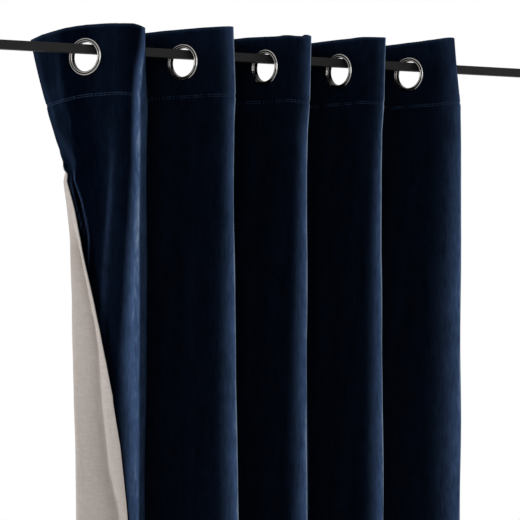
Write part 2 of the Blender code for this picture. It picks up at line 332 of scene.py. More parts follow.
def anchor_place():
    """Where the end of the first ridge stands, reached along the top from eyelet 1."""
    stations, _, x, y = plan_line(0.0)
    run = np.interp(ANCHOR, stations, x) - np.interp(SIDE_MARGIN, stations, x)
    rise = np.interp(ANCHOR, stations, y) - np.interp(SIDE_MARGIN, stations, y)
    return FIRST_EYELET_X + run, rise


ANCHOR_PLACE = anchor_place()


def lean_at(index, down):
    lean = LEANS[index]
    if down < HEADING_DEPTH:
        return lean.top + (lean.stitch - lean.top) * down / HEADING_DEPTH
    if down < LEAN_LOW:
        share = smooth((down - HEADING_DEPTH) / (LEAN_LOW - HEADING_DEPTH))
        return lean.stitch + (lean.low - lean.stitch) * share
    share = (down - LEAN_LOW) / (DROP - LEAN_LOW)
    return lean.low + (lean.hem - lean.low) * share


def nearness(index, stations):
    """1 on a ridge, falling to 0 at LEAN_REACH to either side of it."""
    return smooth(1.0 - np.abs(stations - RIDGES[index]) / LEAN_REACH)


def plan_places(stations, down):
    """x, y and direction of the cloth at each station of a row."""
    fine, directions, x, y = plan_line(down)
    x = x + ANCHOR_PLACE[0] - np.interp(ANCHOR, fine, x)
    y = y + ANCHOR_PLACE[1] - np.interp(ANCHOR, fine, y)
    shift = np.zeros(len(stations))
    for index, ridge in enumerate(RIDGES):
        share = nearness(index, stations)
        if index == 0 and down > HEADING_DEPTH:
            share = np.where(stations < ridge, 1.0, share)
        shift += lean_at(index, down) * share
    for index, nudge in enumerate(between_rows(RIDGE_NUDGES, down), start=1):
        shift += nudge * nearness(index, stations)
    fold, edge = between_rows(SIDE_NUDGES, down)
    places = (0.0, edge_at(down).turn_at, SIDE_NUDGE_REACH)
    shift += np.interp(stations, places, (edge, fold, 0.0))
    x = np.interp(stations, fine, x) + shift
    return x, np.interp(stations, fine, y), np.interp(stations, fine, directions)


def ring_height(index):
    """Height of an eyelet's centre over the rod's axis: its bore rests on the rod."""
    fold = FOLDS[index // 2]
    angle = math.radians(fold.returning if index % 2 else fold.facing)
    bore = RING_BORE * math.cos(math.pi / RING_SEGMENTS)
    reach = (RING_HALF_DEPTH * math.cos(angle) + ROD_SIDE / 2) / math.sin(angle)
    reach += ROD_TO_RING
    return ROD_SIDE / 2 + ROD_TO_RING - math.sqrt(bore**2 - reach**2)


def hang_heights(stations):
    """Height of the eyelets' line over the rod's axis at each station."""
    rings = np.array([ring_height(index) for index in range(EYELETS)])
    place = (stations - SIDE_MARGIN) / PITCH
    index = np.clip(np.floor(place), 0, EYELETS - 2).astype(int)
    share = smooth((place - index - LEVEL_SHARE) / (1.0 - 2.0 * LEVEL_SHARE))
    return rings[index] + (rings[index + 1] - rings[index]) * share


def heights(stations, down):
    """World height of each point of a row."""
    rise = sum(lean.rise * nearness(k, stations) for k, lean in enumerate(LEANS))
    top = ROD_AXIS_Z + hang_heights(stations) + EYELET_BELOW_TOP + rise
    return top - down - sag_at(stations, down)


def spread(start, end, steps):
    """Evenly spaced values from start up to but not including end."""
    return np.linspace(start, end, steps, endpoint=False)


def spread_by(start, end, step):
    return spread(start, end, math.ceil((end - start) / step - TINY))


def row_stations(down):
    """Stations of one row, as many in every row, closer where the cloth bends."""
    edge = edge_at(down)
    turn_start = edge.turn_at - edge.turn_length / 2
    turn_end = edge.turn_at + edge.turn_length / 2
    crease = max(CREASE_AT, turn_end + TRACE_STEP)
    runs = [
        np.array([0.0]),
        spread(LINING_INSET, turn_start, FLAP_STEPS),
        spread(turn_start, turn_end, TURN_STEPS),
        spread(turn_end, crease, MARGIN_STEPS),
        spread(crease, crease + CREASE_LENGTH, CREASE_STEPS),
        spread(crease + CREASE_LENGTH, BENDS[0].easing, FIRST_FLANK_STEPS),
    ]
    afters = [bend.easing for bend in BENDS[1:]] + [WIDTH - LINING_INSET]
    for bend, after in zip(BENDS, afters):
        ridge = bend.start > bend.easing
        runs.append(spread_by(bend.easing, bend.start, EASING_STEP))
        runs.append(spread_by(bend.start, bend.end, RIDGE_STEP if ridge else VALLEY_STEP))
        runs.append(spread_by(bend.end, after, FLAT_STEP))
    runs.append(np.array([WIDTH - LINING_INSET, WIDTH]))
    return np.concatenate(runs)


def cloth_rows():
    """Distances down of the grid's rows, closer at the heading and the turned edge."""
    heading, *others = (spread(*run) for run in ROW_RUNS)
    return np.concatenate([heading, STITCH_ROWS, *others, HEM_ROWS])


# Creases: the station at the crease's top and bottom, how far down they
# are, half its width, and its height towards the velvet's face, below 0 for a trough
Crease = namedtuple("Crease", "top_station bottom_station top bottom half_width height")
CREASES = (
    # Soft hollows and swellings of the other flanks
    Crease(0.372, 0.366, 0.05, 1.2, 0.020, -0.0020),
    Crease(0.436, 0.440, 0.08, 1.3, 0.015, 0.0016),
    Crease(0.668, 0.660, 0.06, 1.2, 0.018, -0.0018),
    Crease(0.728, 0.733, 0.09, 1.3, 0.013, 0.0014),
    Crease(0.962, 0.955, 0.05, 1.2, 0.018, -0.0016),
    Crease(1.022, 1.030, 0.08, 1.3, 0.014, 0.0014),
    Crease(1.258, 1.245, 0.06, 1.2, 0.018, -0.0016),
    Crease(1.318, 1.330, 0.05, 1.3, 0.017, 0.0018),
    # Flanks that go back, out of sight from the front
    Crease(0.24, 0.246, 0.10, 1.3, 0.020, 0.0018),
    Crease(0.53, 0.540, 0.08, 1.3, 0.020, -0.0018),
    Crease(0.83, 0.822, 0.10, 1.3, 0.018, 0.0016),
    Crease(1.13, 1.140, 0.09, 1.3, 0.018, -0.0016),
    Crease(1.43, 1.420, 0.05, 1.3, 0.022, 0.0022),
)
CREASE_FADE = 0.10

# Lines along which sheen is painted on the pile or the cloth stands out. Each has columns of
# its distances down, its stations, half its widths, how much painted shine it has, and its
# heights, and a column that stays the same is one number
Line = namedtuple("Line", "station half_width shine height")
LINES = {
    # The crease of the margin, and faint painted glints beside it
    "margin crease": (
        (0.0, 0.06, 0.13, 0.17, 0.21), (0.07, 0.068, 0.064, 0.052, 0.056), 0.006, 0.0,
        (-0.0004, -0.0018, -0.002, -0.001, 0.0),
    ),
    "margin glint": (
        (0.02, 0.06, 0.09, 0.11), (0.045, 0.046, 0.046, 0.046),
        (0.005, 0.005, 0.006, 0.006), (0.0, 0.035, 0.015, 0.0), 0.0,
    ),
    "crease glint": (
        (0.108, 0.13, 0.15, 0.17), (0.061, 0.062, 0.055, 0.048), 0.003,
        (0.0, 0.045, 0.02, 0.0), 0.0,
    ),
    # Two small ridges beside the turned edge, with painted highlights along them
    "outer small ridge": (
        (0.195, 0.205, 0.235, 0.273, 0.29), (0.02, 0.0215, 0.0335, 0.0525, 0.066),
        (0.0014, 0.0014, 0.0014, 0.0014, 0.0018), (0.0, 0.6, 0.8, 0.6, 0.0),
        (0.0, 0.0008, 0.0012, 0.001, 0.0),
    ),
    "inner small ridge": (
        (0.19, 0.204, 0.24, 0.28, 0.3, 0.345), (0.028, 0.031, 0.053, 0.069, 0.075, 0.079),
        (0.0015, 0.0015, 0.0015, 0.0015, 0.0015, 0.0018), (0.0, 0.55, 0.8, 0.8, 0.7, 0.0),
        (0.0, 0.0008, 0.0012, 0.0012, 0.001, 0.0),
    ),
    # The first flank with painted light on it, and the faint streak down it, raised and with
    # painted sheen
    "first flank": (
        (-0.01, 0.1, 0.4), 0.134, 0.03, (0.032, 0.026, 0.02), 0.0,
    ),
    "streak": (
        (0.12, 0.17, 0.205, 0.24, 0.3, 0.39, 0.52, 0.64),
        (0.139, 0.133, 0.1305, 0.128, 0.121, 0.116, 0.106, 0.104),
        (0.0085, 0.0075, 0.0072, 0.007, 0.0065, 0.0065, 0.0062, 0.0062),
        (0.0, 0.02, 0.08, 0.09, 0.09, 0.06, 0.03, 0.0),
        (0.0, 0.0008, 0.001, 0.0012, 0.0014, 0.0012, 0.0006, 0.0),
    ),
    "trough": (
        (0.3, 0.42, 1.3), (0.128, 0.124, 0.128), (0.008, 0.008, 0.009), 0.0,
        (0.0, -0.0022, -0.0022),
    ),
    # The first ridge's hard line, a painted highlight on a slight rise, and its side standing
    # out
    "hard line": (
        (-0.01, 0.015, 0.035, 0.063, 0.095, 0.4, 1.3),
        (0.1915, 0.19, 0.1868, 0.1808, 0.178, 0.1788, 0.1788), 0.001,
        (0.3, 0.34, 0.34, 0.34, 0.36, 0.36, 0.25),
        (0.0003, 0.0003, 0.0003, 0.0003, 0.0004, 0.0004, 0.0003),
    ),
    "ridge's side": (
        (0.06, 0.11, 0.3, 0.6), 0.191, 0.01, 0.0, (0.0, 0.0034, 0.0034, 0.001),
    ),
    # Painted highlights along the other ridges' rims
    "second rim": (
        (0.0, 1.4), 0.4778, 0.0017, (2.2, 2.0), 0.0,
    ),
    "third rim": (
        (0.0, 0.14, 1.4), 0.7688, (0.0018, 0.0016, 0.0016), (2.8, 2.0, 2.1), 0.0,
    ),
    "fourth rim": (
        (0.0, 0.14, 1.4), 1.0652, (0.0018, 0.0016, 0.0016), (3.0, 2.6, 2.3), 0.0,
    ),
    "fifth rim": (
        (0.02, 0.1, 0.2, 1.4), 1.369, (0.0028, 0.003, 0.0036, 0.0036), (0.3, 0.9, 1.7, 1.9),
        0.0,
    ),
}

# The soft fold along the turned edge: rows of the distance down, and its station there
FLAP_FOLD = (
    (0.255, 0.0120),
    (0.285, 0.0140),
    (0.352, 0.0135),
    (0.420, 0.0125),
    (0.462, 0.0155),
    (0.500, 0.0215),
    (0.583, 0.0265),
    (0.625, 0.0235),
    (0.675, 0.0150),
    (1.100, 0.0160),
)
FLAP_FOLD_DEPTH = 0.0060
FLAP_FOLD_FADE = 0.060
FLAP_FOLD_INNER = 0.0110
FLAP_FOLD_OUTER = 0.0050

# Bands of painted sheen on the pile, in columns too: the distances down, the stations at
# which a band starts, is strongest, starts to fade and ends, its strength, and the power
# by which it rises. Then a painted highlight along the top edge, and painted light on the
# pile away from the leading side
PaintedSheenBand = namedtuple("PaintedSheenBand", "start peak fade end strength power")
PAINTED_SHEEN_BANDS = {
    "margin": (
        (0.0, 0.06, 0.086, 0.11, 0.13, 0.15, 0.17, 0.2, 0.24, 0.28), -0.02, -0.01,
        (0.048, 0.048, 0.052, 0.056, 0.054, 0.044, 0.032, 0.022, 0.024, 0.03),
        (0.058, 0.058, 0.066, 0.068, 0.066, 0.058, 0.046, 0.034, 0.04, 0.044),
        (0.035, 0.024, 0.048, 0.03, 0.03, 0.045, 0.05, 0.05, 0.04, 0.0), 2.0,
    ),
    "free edge": (
        (0.0, 0.06, 0.086, 0.11, 0.13, 0.15, 0.17, 0.2, 0.24), -0.02, -0.01,
        (0.004, 0.002, 0.006, 0.014, 0.008, 0.02, 0.026, 0.022, 0.024),
        (0.016, 0.016, 0.02, 0.03, 0.024, 0.042, 0.042, 0.034, 0.04),
        (0.065, 0.075, 0.055, 0.08, 0.065, 0.05, 0.05, 0.05, 0.0), 2.0,
    ),
    "first": (
        (0.0, 0.035, 0.063, 0.1, 0.2, 0.3, 0.4, 0.52, 0.62),
        (0.1785, 0.1745, 0.1695, 0.167, 0.1655, 0.158, 0.15, 0.142, 0.144),
        (0.1875, 0.1835, 0.1785, 0.1752, 0.1757, 0.1735, 0.171, 0.172, 0.171),
        (0.191, 0.1872, 0.1812, 0.1782, 0.178, 0.1775, 0.1775, 0.177, 0.176),
        (0.1945, 0.1905, 0.185, 0.182, 0.182, 0.182, 0.182, 0.182, 0.182),
        (0.78, 0.8, 0.84, 0.96, 1.1, 1.1, 0.99, 0.83, 0.95), 2.0,
    ),
    "strip": (
        (0.0, 0.1, 0.2, 0.4), (0.18, 0.176, 0.176, 0.176), (0.19, 0.182, 0.182, 0.182),
        (0.192, 0.186, 0.1855, 0.184), 0.205, (0.27, 0.3, 0.28, 0.18), 2.0,
    ),
    "second": (
        (0.0, 0.1, 0.2, 0.4, 0.6), (0.44, 0.44, 0.44, 0.44, 0.442), 0.4745, 0.479, 0.488,
        (0.36, 0.5, 0.68, 0.79, 0.86), (4.5, 4.5, 4.5, 3.2, 2.4),
    ),
    "third": (
        (0.0, 0.1, 0.2, 0.4, 0.6), (0.734, 0.734, 0.732, 0.73, 0.728), 0.766, 0.77, 0.78,
        (0.36, 0.54, 0.77, 0.92, 0.98), (4.5, 4.5, 4.4, 3.4, 2.8),
    ),
    "fourth": (
        (0.0, 0.1, 0.2, 0.4, 0.6), (1.035, 1.035, 1.032, 1.03, 1.028), 1.064, 1.068, 1.078,
        (0.36, 0.54, 0.86, 1.02, 1.06), (4.5, 4.5, 4.4, 3.4, 2.8),
    ),
    "fifth": (
        (0.0, 0.1, 0.2, 0.4, 0.6), (1.295, 1.295, 1.295, 1.285, 1.285), 1.368, 1.374, 1.386,
        (0.36, 0.64, 1.0, 1.14, 1.08), (5.0, 5.5, 5.5, 4.8, 4.2),
    ),
}
# Painted highlight along the top edge
TOP_EDGE_PAINTED_HIGHLIGHT = 0.12
TOP_EDGE_PAINTED_HIGHLIGHT_HALF_WIDTH = 0.0022
# Painted light over the flanks away from the leading side
FLANK_PAINTED_LIGHT = 0.030
FLANK_PAINTED_LIGHT_FROM = 0.200
FLANK_PAINTED_LIGHT_FADE = 0.040
PAINTED_SHEEN_LAYER = "painted_sheen"

# Painted shade that darkens the lining beside the soft fold, and the brown line just inside
# its edge
SHADE_LENGTH = 0.024
SHADE_EDGE = 0.0030
SHADE_SEAM = 0.55
SHADE_SEAM_AT = 0.0026
SHADE_SEAM_HALF_WIDTH = 0.0009
SHADE_LAYER = "shade"

# Slow waves along and down the cloth
Wave = namedtuple("Wave", "height length slant drop phase")
WAVES = (
    Wave(0.0007, 0.094, 0.10, 0.61, 0.4),
    Wave(0.0006, 0.061, -0.06, 0.43, 2.1),
    Wave(0.0004, 0.037, 0.04, 0.29, 4.0),
)
WAVES_FROM = 0.080
WAVES_FADE = 0.060
SEAM_DEPTH = 0.0009
SEAM_HALF_WIDTH = 0.0016
SEAM_ROWS = (HEADING_DEPTH - 0.0028, HEADING_DEPTH)
PUCKER_HEIGHT = 0.0004
PUCKER_LENGTH = 0.0065
PUCKER_HALF_WIDTH = 0.009
PUCKER_DRIFT = 3.0
PUCKER_DRIFT_LENGTH = math.tau / 31.0
CLAMP_RADIUS = 0.027
CLAMP_FADE = 0.020
SIDE_FADE = 0.006

# The cells that are cut out at an eyelet, the rim of the cloth, and the length over which
# its back steps in below the heading
HOLE_CELL = 0.002
RIM_ANGLE = math.radians(70)
RIM_ROUNDING = 0.0006
BACK_STEP = 0.0008
CLOTH_UV = "cloth"

# The lining's own slack, which swells and shrinks along and down it and is none near its
# sides and its ends, and the stitch line of its hem
LINING_SLACK = 0.0006
SLACK_LENGTH = 0.071
SLACK_DROP = 0.47
SLACK_PHASES = (1.0, 0.5)
SLACK_SIDE_FADE = 0.02
SLACK_END_FADE = 0.03
LINING_HEM = 0.022
LINING_HEM_STITCH = 0.0004

# Thread
SEAM_START = 0.004
STITCH_PITCH = 0.0032
STITCH_LENGTH = 0.0024
STITCH_RADIUS = 0.00025
# Its sections: share along it, and lift and thickness as shares of its radius
STITCH_SECTIONS = ((-0.5, -0.6, 0.5), (0.0, 0.6, 1.0), (0.5, -0.6, 0.5))

# Half sections of an eyelet's two pieces: the distance from its axis, and the place
# along it from the velvet's middle
RING_FRONT = (
    (0.0208, -0.0034),
    (0.0205, -0.0026),
    (0.0205, 0.0022),
    (0.0207, 0.0032),
    (0.0211, 0.0039),
    (0.0217, 0.0042),
    (0.0223, 0.0041),
    (0.0228, 0.0037),
    (0.0231, 0.0028),
    (0.0234, 0.0024),
    (0.0238, 0.0025),
    (0.0241, 0.0031),
    (0.0246, 0.0037),
    (0.0252, 0.0037),
    (0.0258, 0.0033),
    (0.0263, 0.0025),
    (0.0265, 0.0015),
    (0.0262, 0.0011),
    (0.0236, 0.0011),
    (0.0226, 0.0008),
    (0.0222, 0.0000),
    (0.0222, -0.0030),
)
RING_WASHER = (
    (0.0209, -0.0035),
    (0.0222, -0.0031),
    (0.0226, -0.0025),
    (0.0250, -0.0025),
    (0.0255, -0.0027),
    (0.0254, -0.0032),
    (0.0246, -0.0037),
    (0.0232, -0.0038),
    (0.0220, -0.0038),
    (0.0212, -0.0037),
)
# How much painted shade a point has in the recesses, by its distance from the axis
RECESS_RADII = (0.0205, 0.0208, 0.0214, 0.0226, 0.0231, 0.0239, 0.0244)
RECESS_SHADE_SHARES = (1.0, 0.9, 0.0, 0.0, 1.0, 1.0, 0.0)
RECESS_SHADE_LAYER = "recess_shade"
RING_SIDES = 72
RING_SHARP = math.radians(50)

# The rod's wall and its end plugs
ROD_WALL = 0.0012
PLUG_INSET = 0.0015
ROD_ROUNDING = 0.0011

# How often the patterns repeat: along and down the cloth, or each way, a metre
STREAKS = (90.0, 9.0)
BLOTCHES = (48.0, 24.0)
COMBED = (300.0, 45.0)
PILE = 1500.0
WARP = (2400.0, 60.0)
WEFT = (60.0, 2400.0)
SLUBS = (260.0, 12.0)
TWIST = 2600.0
HAZE = 180.0
MARKS = 1800.0
COAT_GRAIN = 1400.0
COAT_PATCHES = 35.0
FLOOR_GRAIN = 6.0

# Colours, linear
VELVET_DARK = (0.0003, 0.0008, 0.0023)
VELVET_LIGHT = (0.0011, 0.0030, 0.0085)
# Painted sheen on the pile
VELVET_PAINTED_SHEEN = (0.070, 0.127, 0.268)
# Painted highlight for the brightest rims
VELVET_PAINTED_RIM_HIGHLIGHT = (0.33, 0.44, 0.60)
VELVET_SHEEN = (0.16, 0.34, 0.70)
VELVET_SHEEN_WEIGHT = 0.22
VELVET_SHEEN_ROUGHNESS = 0.15
LINING_DARK = (0.40, 0.358, 0.335)
LINING_LIGHT = (0.58, 0.523, 0.490)
# Colour of the painted shade on the lining
LINING_SHADED = (0.20, 0.165, 0.140)
LINING_SHADE = 0.50
THREAD_DARK = (0.048, 0.092, 0.185)
THREAD_LIGHT = (0.125, 0.205, 0.375)
LINING_SHEEN_WEIGHT = 0.15
LINING_SHEEN_ROUGHNESS = 0.5
NICKEL_DARK = (0.56, 0.54, 0.52)
NICKEL_LIGHT = (0.68, 0.66, 0.64)
# Painted shade for the rings' grooves and barrels
NICKEL_PAINTED_SHADE = (0.05, 0.045, 0.04)
ROD_DARK = (0.0062, 0.0062, 0.0062)
ROD_LIGHT = (0.0110, 0.0102, 0.0102)
FLOOR_DARK = (0.78, 0.77, 0.75)
FLOOR_LIGHT = (0.84, 0.83, 0.81)

# The white world's strength as a light, in mirrors and as the camera sees it
WORLD_LIGHT = 0.26
WORLD_MIRRORED = 0.55
WORLD_SEEN = 1.0


def bump(distance, half_width):
    return np.exp(-((distance / half_width) ** 2))


def hole_places():
    """Station and distance down of each eyelet's centre on the cloth."""
    stations = [eyelet_station(index) for index in range(EYELETS)]
    sags = sag_at(np.array(stations), EYELET_BELOW_TOP)
    return [(station, EYELET_BELOW_TOP - sag) for station, sag in zip(stations, sags)]


def eyelet_clear(stations, downs):
    """0 on each eyelet ring, where the cloth is clamped flat, rising to 1 around it."""
    clear = np.ones_like(stations)
    for station, down in hole_places():
        away = np.hypot(stations - station, downs - down)
        clear = np.minimum(clear, smooth((away - CLAMP_RADIUS) / CLAMP_FADE))
    return clear


def along_lines(stations, downs, column):
    """What the listed lines add in one column, such as painted shine, at each point."""
    total = np.zeros_like(stations)
    for columns in LINES.values():
        line = Line(*between(columns, downs))
        total += getattr(line, column) * bump(stations - line.station, line.half_width)
    return total


def relief(stations, downs):
    """How far the cloth stands towards the velvet's face from its smooth folds."""
    out = np.zeros_like(stations)
    for crease in CREASES:
        length = crease.bottom - crease.top
        share = (downs - crease.top) / length
        line = crease.top_station + (crease.bottom_station - crease.top_station) * share
        fade = min(CREASE_FADE, length / 2)
        ends = smooth((downs - crease.top) / fade) * smooth((crease.bottom - downs) / fade)
        out += crease.height * ends * bump(stations - line, crease.half_width)
    steady = smooth((stations - WAVES_FROM) / WAVES_FADE)
    for wave in WAVES:
        turn = (stations + wave.slant * downs) / wave.length + downs / wave.drop
        out += wave.height * steady * np.sin(math.tau * turn + wave.phase)
    out += along_lines(stations, downs, "height")
    beside = stations - between_rows(FLAP_FOLD, downs)[0]
    width = np.where(beside > 0.0, FLAP_FOLD_INNER, FLAP_FOLD_OUTER)
    inside = smooth((downs - FLAP_FOLD[0][0]) / FLAP_FOLD_FADE)
    out += FLAP_FOLD_DEPTH * inside * np.exp(-np.abs(beside) / width)
    out *= smooth(stations / SIDE_FADE) * smooth((WIDTH - stations) / SIDE_FADE)
    for row in SEAM_ROWS:
        out -= SEAM_DEPTH * bump(downs - row, SEAM_HALF_WIDTH)
    drift = PUCKER_DRIFT * np.sin(math.tau * stations / PUCKER_DRIFT_LENGTH)
    pucker = np.sin(math.tau * stations / PUCKER_LENGTH + drift)
    out += PUCKER_HEIGHT * pucker * bump(downs - HEADING_DEPTH, PUCKER_HALF_WIDTH)
    return out * eyelet_clear(stations, downs)


def painted_sheen_of_pile(stations, downs):
    """How much sheen is painted on the pile: 0 where there is none, 1 at its brightest."""
    # Painted glints, highlights and sheen along the listed lines
    amount = along_lines(stations, downs, "shine")
    # A painted highlight along the top edge
    amount += TOP_EDGE_PAINTED_HIGHLIGHT * bump(downs, TOP_EDGE_PAINTED_HIGHLIGHT_HALF_WIDTH)
    # Painted light over the flanks away from the leading side
    amount += FLANK_PAINTED_LIGHT * smooth((stations - FLANK_PAINTED_LIGHT_FROM) / FLANK_PAINTED_LIGHT_FADE)
    for columns in PAINTED_SHEEN_BANDS.values():
        band = PaintedSheenBand(*between(columns, downs))
        rise = np.clip((stations - band.start) / (band.peak - band.start), 0.0, 1.0)
        fall = smooth((band.end - stations) / (band.end - band.fade))
        amount += band.strength * rise**band.power * fall
    return amount


def flap_shade(stations, downs):
    """How much painted shade darkens the lining towards the fold along the turned edge, and
    how dark the line at its rim is.
    """
    beside = stations - between_rows(FLAP_FOLD, downs)[0]
    inner = np.exp(-np.maximum(beside, 0.0) / SHADE_LENGTH) * smooth(beside / SHADE_EDGE + 0.5)
    inner *= smooth((downs - FLAP_FOLD[0][0]) / FLAP_FOLD_FADE)
    seam = SHADE_SEAM * bump(stations - SHADE_SEAM_AT, SHADE_SEAM_HALF_WIDTH)
    return inner + seam


def normals_of(points):
    """Unit directions square to a grid of points, towards the velvet's face."""
    across = np.gradient(points, axis=1)
    down = np.gradient(points, axis=0)
    normals = np.cross(down, across)
    return normals / np.linalg.norm(normals, axis=2, keepdims=True)


def cloth_grid():
    """Stations, distances down, middle points and face directions of the whole cloth."""
    rows = cloth_rows()
    stations = np.array([row_stations(down) for down in rows])
    downs = np.repeat(rows[:, None], stations.shape[1], axis=1)
    points = np.empty((*stations.shape, 3))
    for row, down in enumerate(rows):
        x, y, _ = plan_places(stations[row], down)
        points[row] = np.stack([x, y, heights(stations[row], down)], axis=1)
    points += relief(stations, downs)[..., None] * normals_of(points)
    return stations, downs, points, normals_of(points)


def new_object(name, data):
    obj = bpy.data.objects.new(name, data)
    bpy.context.scene.collection.objects.link(obj)
    return obj


def band(shape, here, there):
    """Four-sided faces between two rings of as many points."""
    for k in range(len(here)):
        n = (k + 1) % len(here)
        shape.faces.new((here[k], here[n], there[n], there[k]))


def smooth_mesh(name, shape):
    """A mesh of what bmesh holds, with its faces outward and smooth."""
    bmesh.ops.recalc_face_normals(shape, faces=shape.faces)
    mesh = bpy.data.meshes.new(name)
    shape.to_mesh(mesh)
    shape.free()
    mesh.shade_smooth()
    return mesh


def round_off(obj, name, width, segments):
    """Rounds an object's sharp edges, and returns the modifier."""
    rounding = obj.modifiers.new(name, "BEVEL")
    rounding.limit_method = "ANGLE"
    rounding.angle_limit = RIM_ANGLE
    rounding.width = width
    rounding.segments = segments
    return rounding


def boundary_of(faces, count):
    """Edges, as pairs of points in their face's order, that only one face has."""
    edges = np.concatenate([faces[:, [k, (k + 1) % 4]] for k in range(4)])
    key = edges[:, 0].astype(np.int64) * count + edges[:, 1]
    turned = edges[:, 1].astype(np.int64) * count + edges[:, 0]
    return edges[~np.isin(key, turned)]


def sheet_cells(stations, downs, holes):
    """Which cells of the grid are cloth, holes being (station, distance down) pairs."""
    middle_station = (stations[:-1, :-1] + stations[1:, 1:]) / 2
    middle_down = (downs[:-1, :-1] + downs[1:, 1:]) / 2
    cells = np.ones(middle_station.shape, bool)
    for station, down in holes:
        away = np.hypot(middle_station - station, middle_down - down)
        cells &= away > HOLE_RADIUS - HOLE_CELL
    return cells


def round_holes(grid, rim_points, holes):
    """Moves the points on each hole's rim onto its circle, in the plane of the cloth."""
    stations, downs, points, _ = (part.reshape(-1, *part.shape[2:]) for part in grid)
    across = np.gradient(grid[2], axis=1).reshape(-1, 3)
    across /= np.linalg.norm(across, axis=1, keepdims=True)
    for station, down in holes:
        run = stations[rim_points] - station
        fall = downs[rim_points] - down
        away = np.hypot(run, fall)
        near = away < HOLE_RADIUS + 2 * HOLE_CELL
        chosen = rim_points[near]
        stretch = (HOLE_RADIUS / away[near] - 1.0)[:, None]
        points[chosen] += stretch * run[near, None] * across[chosen]
        points[chosen, 2] -= (stretch * fall[near, None])[:, 0]


def closed_sheet(name, grid, face, back, holes=()):
    """A sheet with two sides and a rim, from a grid and the offsets of its two sides."""
    stations, downs, points, normals = grid
    count = stations.size
    index = np.arange(count).reshape(stations.shape)
    corners = np.stack([index[:-1, :-1], index[1:, :-1], index[1:, 1:], index[:-1, 1:]], -1)
    front_faces = corners[sheet_cells(stations, downs, holes)]
    rim = boundary_of(front_faces, count)
    if holes:
        round_holes(grid, np.unique(rim), holes)
    rim_faces = np.stack([rim[:, 1], rim[:, 0], rim[:, 0] + count, rim[:, 1] + count], -1)
    faces = np.concatenate([front_faces, front_faces[:, ::-1] + count, rim_faces])
    front = points + face[..., None] * normals
    rear = points + back[..., None] * normals
    places = np.concatenate([front.reshape(-1, 3), rear.reshape(-1, 3)])
    used, faces = np.unique(faces, return_inverse=True)
    faces = faces.reshape(-1, 4)
    mesh = bpy.data.meshes.new(name)
    mesh.from_pydata(places[used].tolist(), [], faces.tolist())
    flat = np.stack([stations.ravel(), -downs.ravel()], axis=1)
    flat = np.concatenate([flat, flat])[used]
    layer = mesh.uv_layers.new(name=CLOTH_UV)
    layer.data.foreach_set("uv", flat[faces.ravel()].astype(np.float32).ravel())
    # Painted sheen on the velvet and painted shade on the lining, stored on the points
    for layer_name, amounts in ((PAINTED_SHEEN_LAYER, painted_sheen_of_pile), (SHADE_LAYER, flap_shade)):
        values = np.tile(amounts(stations, downs).ravel(), 2)[used]
        layer = mesh.attributes.new(layer_name, "FLOAT", "POINT")
        layer.data.foreach_set("value", values.astype(np.float32))
    mesh.shade_smooth()
    obj = new_object(name, mesh)
    round_off(obj, "rounded_rim", RIM_ROUNDING, 2)
    return obj


def velvet_sheet(grid):
    stations, downs, _, _ = grid
    face = np.full(stations.shape, VELVET_FACE)
    share = smooth((downs - HEADING_DEPTH + BACK_STEP) / BACK_STEP)
    back = HEADING_BACK + (VELVET_BACK - HEADING_BACK) * share
    return closed_sheet("velvet", grid, face, back, hole_places())


def lining_sheet(grid):
    """The lining, over the velvet's back from the heading down, a little loose on it."""
    rows = (grid[1][:, 0] > HEADING_DEPTH) & (grid[1][:, 0] < LINING_END + TINY)
    stations, downs, points, normals = (values[rows][:, 1:-1].copy() for values in grid)
    share = LINING_REACH / LINING_INSET
    for values, whole in ((stations, grid[0]), (points, grid[2])):
        for inner, outer in ((0, 0), (-1, -1)):
            values[:, inner] += share * (whole[rows][:, outer] - values[:, inner])
    part = (stations, downs, points, normals)
    loose = smooth((stations - LINING_INSET) / SLACK_SIDE_FADE)
    loose *= smooth((WIDTH - LINING_INSET - stations) / SLACK_SIDE_FADE)
    loose *= smooth((downs - HEADING_DEPTH) / SLACK_END_FADE)
    loose *= smooth((LINING_END - downs) / SLACK_END_FADE)
    swell = np.sin(math.tau * stations / SLACK_LENGTH + SLACK_PHASES[0])
    swell *= np.sin(math.tau * downs / SLACK_DROP + SLACK_PHASES[1])
    slack = LINING_SLACK * loose * (1.0 + swell) / 2
    hem = LINING_HEM_STITCH * bump(downs - (LINING_END - LINING_HEM), SEAM_HALF_WIDTH)
    return closed_sheet("lining_cloth", part, LINING_NEAR - slack, LINING_FAR - slack + hem)


def places_on_cloth(stations, down, lift):
    """Points a given distance over the velvet's face along one row, with directions."""
    x, y, direction = plan_places(stations, down)
    out = relief(stations, np.full(len(stations), down)) + VELVET_FACE + lift
    z = heights(stations, down)
    places = np.stack([x + out * np.sin(direction), y - out * np.cos(direction), z], axis=1)
    return places, direction


def heading_stitches():
    """Two rows of thread stitches that close the heading."""
    shape = bmesh.new()
    stitches = np.arange(SEAM_START, WIDTH - SEAM_START, STITCH_PITCH)
    for row in SEAM_ROWS:
        ends = []
        for share, lift, _ in STITCH_SECTIONS:
            along = stitches + share * STITCH_LENGTH
            ends.append(places_on_cloth(along, row, STITCH_RADIUS * lift))
        for index in range(len(stitches)):
            loops = []
            for (places, directions), section in zip(ends, STITCH_SECTIONS):
                radius = STITCH_RADIUS * section[2]
                out = Vector((math.sin(directions[index]), -math.cos(directions[index]), 0.0))
                up = Vector((0.0, 0.0, radius))
                centre = Vector(places[index])
                ring = (centre + out * radius, centre + up, centre - out * radius, centre - up)
                loops.append([shape.verts.new(place) for place in ring])
            for here, there in zip(loops, loops[1:]):
                band(shape, here, there)
            shape.faces.new(loops[0][::-1])
            shape.faces.new(loops[-1])
    return new_object("heading_stitches", smooth_mesh("heading_stitches", shape))


